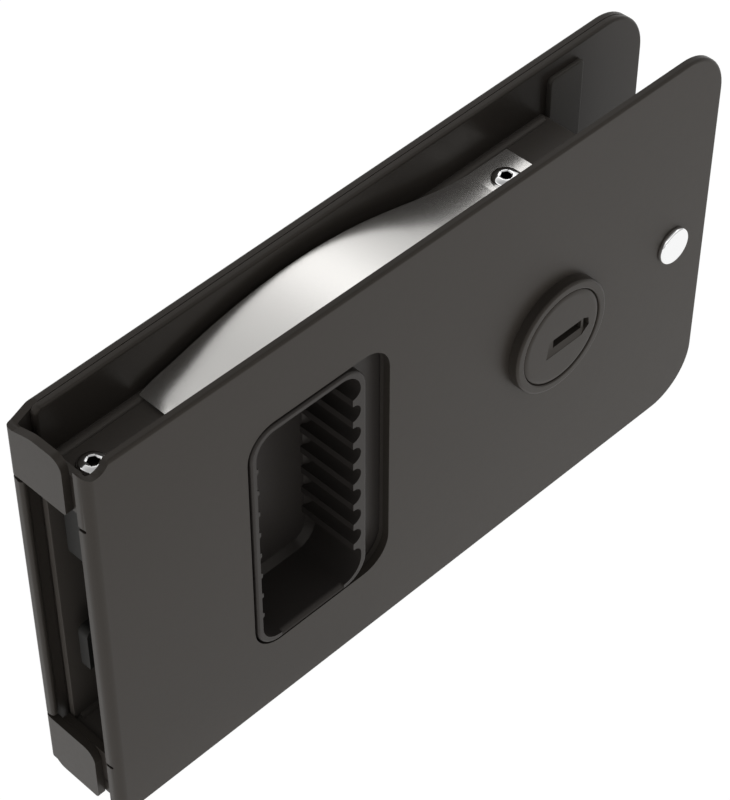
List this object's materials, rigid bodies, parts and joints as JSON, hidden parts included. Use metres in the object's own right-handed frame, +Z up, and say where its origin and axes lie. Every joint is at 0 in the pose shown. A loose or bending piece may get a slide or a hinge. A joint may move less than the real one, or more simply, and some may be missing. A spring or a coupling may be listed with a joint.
{
  "type": "flush pull latch",
  "caption": "Flush sliding-door latch of two dark plates round a case, with a sliding finger cup, keyed cylinder, claw in the end mouth, bowed leaf on top and a clamp stud.",
  "frame": {"origin": "centre of the bounding box at the bottom edges of the plates", "axes": "+X along the plates away from the latching end, +Y from the outside face plate towards the inside plate, +Z up"},
  "size_m": [0.16, 0.0342, 0.091],
  "materials": {
    "plate_coat": "satin dark bronze grey coat",
    "case_coat": "satin dark coat",
    "cup_plastic": "matte dark bronze grey",
    "block_plastic": "matte near black",
    "strip_rubber": "matte black",
    "lock_ring_coat": "satin dark bronze grey coat",
    "plug_coat": "satin dark bronze grey coat",
    "lock_brass": "turned",
    "mechanism_steel": "zinc plated",
    "spring_steel": "drawn wire",
    "leaf_stainless": "bright brushed stainless",
    "bright_chrome": "bright"
  },
  "bodies": {
    "case": {"block_rivet_1": "mechanism_steel", "block_rivet_2": "mechanism_steel", "case_cover": "case_coat", "case_screw": "bright_chrome", "case_shell": "case_coat", "clamp_bolt": "bright_chrome", "clamp_screw": "bright_chrome", "claw_pin": "mechanism_steel", "cover_screw_1": "mechanism_steel", "cover_screw_2": "mechanism_steel", "cover_screw_3": "mechanism_steel", "cover_screw_4": "mechanism_steel", "front_plate": "plate_coat", "grip_strip": "strip_rubber", "leaf_screw": "bright_chrome", "leaf_spring": "leaf_stainless", "lock_body": "lock_brass", "lock_collar": "lock_ring_coat", "lock_nut": "mechanism_steel", "lower_guide_block": "block_plastic", "rear_liner": "plate_coat", "rear_plate": "plate_coat", "rear_rosette": "plate_coat", "return_spring": "spring_steel", "spring_stop": "mechanism_steel", "stop_rivet_1": "mechanism_steel", "stop_rivet_2": "mechanism_steel", "upper_guide_block": "block_plastic"},
    "pull": {"pull_cup": "cup_plastic", "slide_plate": "mechanism_steel", "draw_link": "mechanism_steel", "slide_rivet_lower": "mechanism_steel", "slide_rivet_upper": "mechanism_steel", "link_rivet_left": "mechanism_steel", "link_rivet_right": "mechanism_steel"},
    "claw": {"latch_claw": "mechanism_steel"},
    "key": {"key_plug": "plug_coat", "key_cam": "mechanism_steel", "thumb_turn": "plate_coat"}
  },
  "joints": [
    {"name": "pull_slide", "type": "slide", "parent": "case", "child": "pull", "axis": [1, 0, 0], "range_m": [0, 0.0056], "stiffness_N_per_m": 400, "springref_m": -0.012, "deforming": ["return_spring"]},
    {"name": "claw_swing", "type": "hinge", "parent": "case", "child": "claw", "pos_m": [-0.064, -0.00545, 0.03], "axis": [0, -1, 0], "range_deg": [0, 22.3]},
    {"name": "key_turn", "type": "hinge", "parent": "case", "child": "key", "pos_m": [0.0342, -0.00685, 0.0456], "axis": [0, -1, 0], "range_deg": [0, 90]}
  ],
  "couplings": [
    {"joint": "claw_swing", "follows": "pull_slide", "rad_per_m": 69.293}
  ]
}
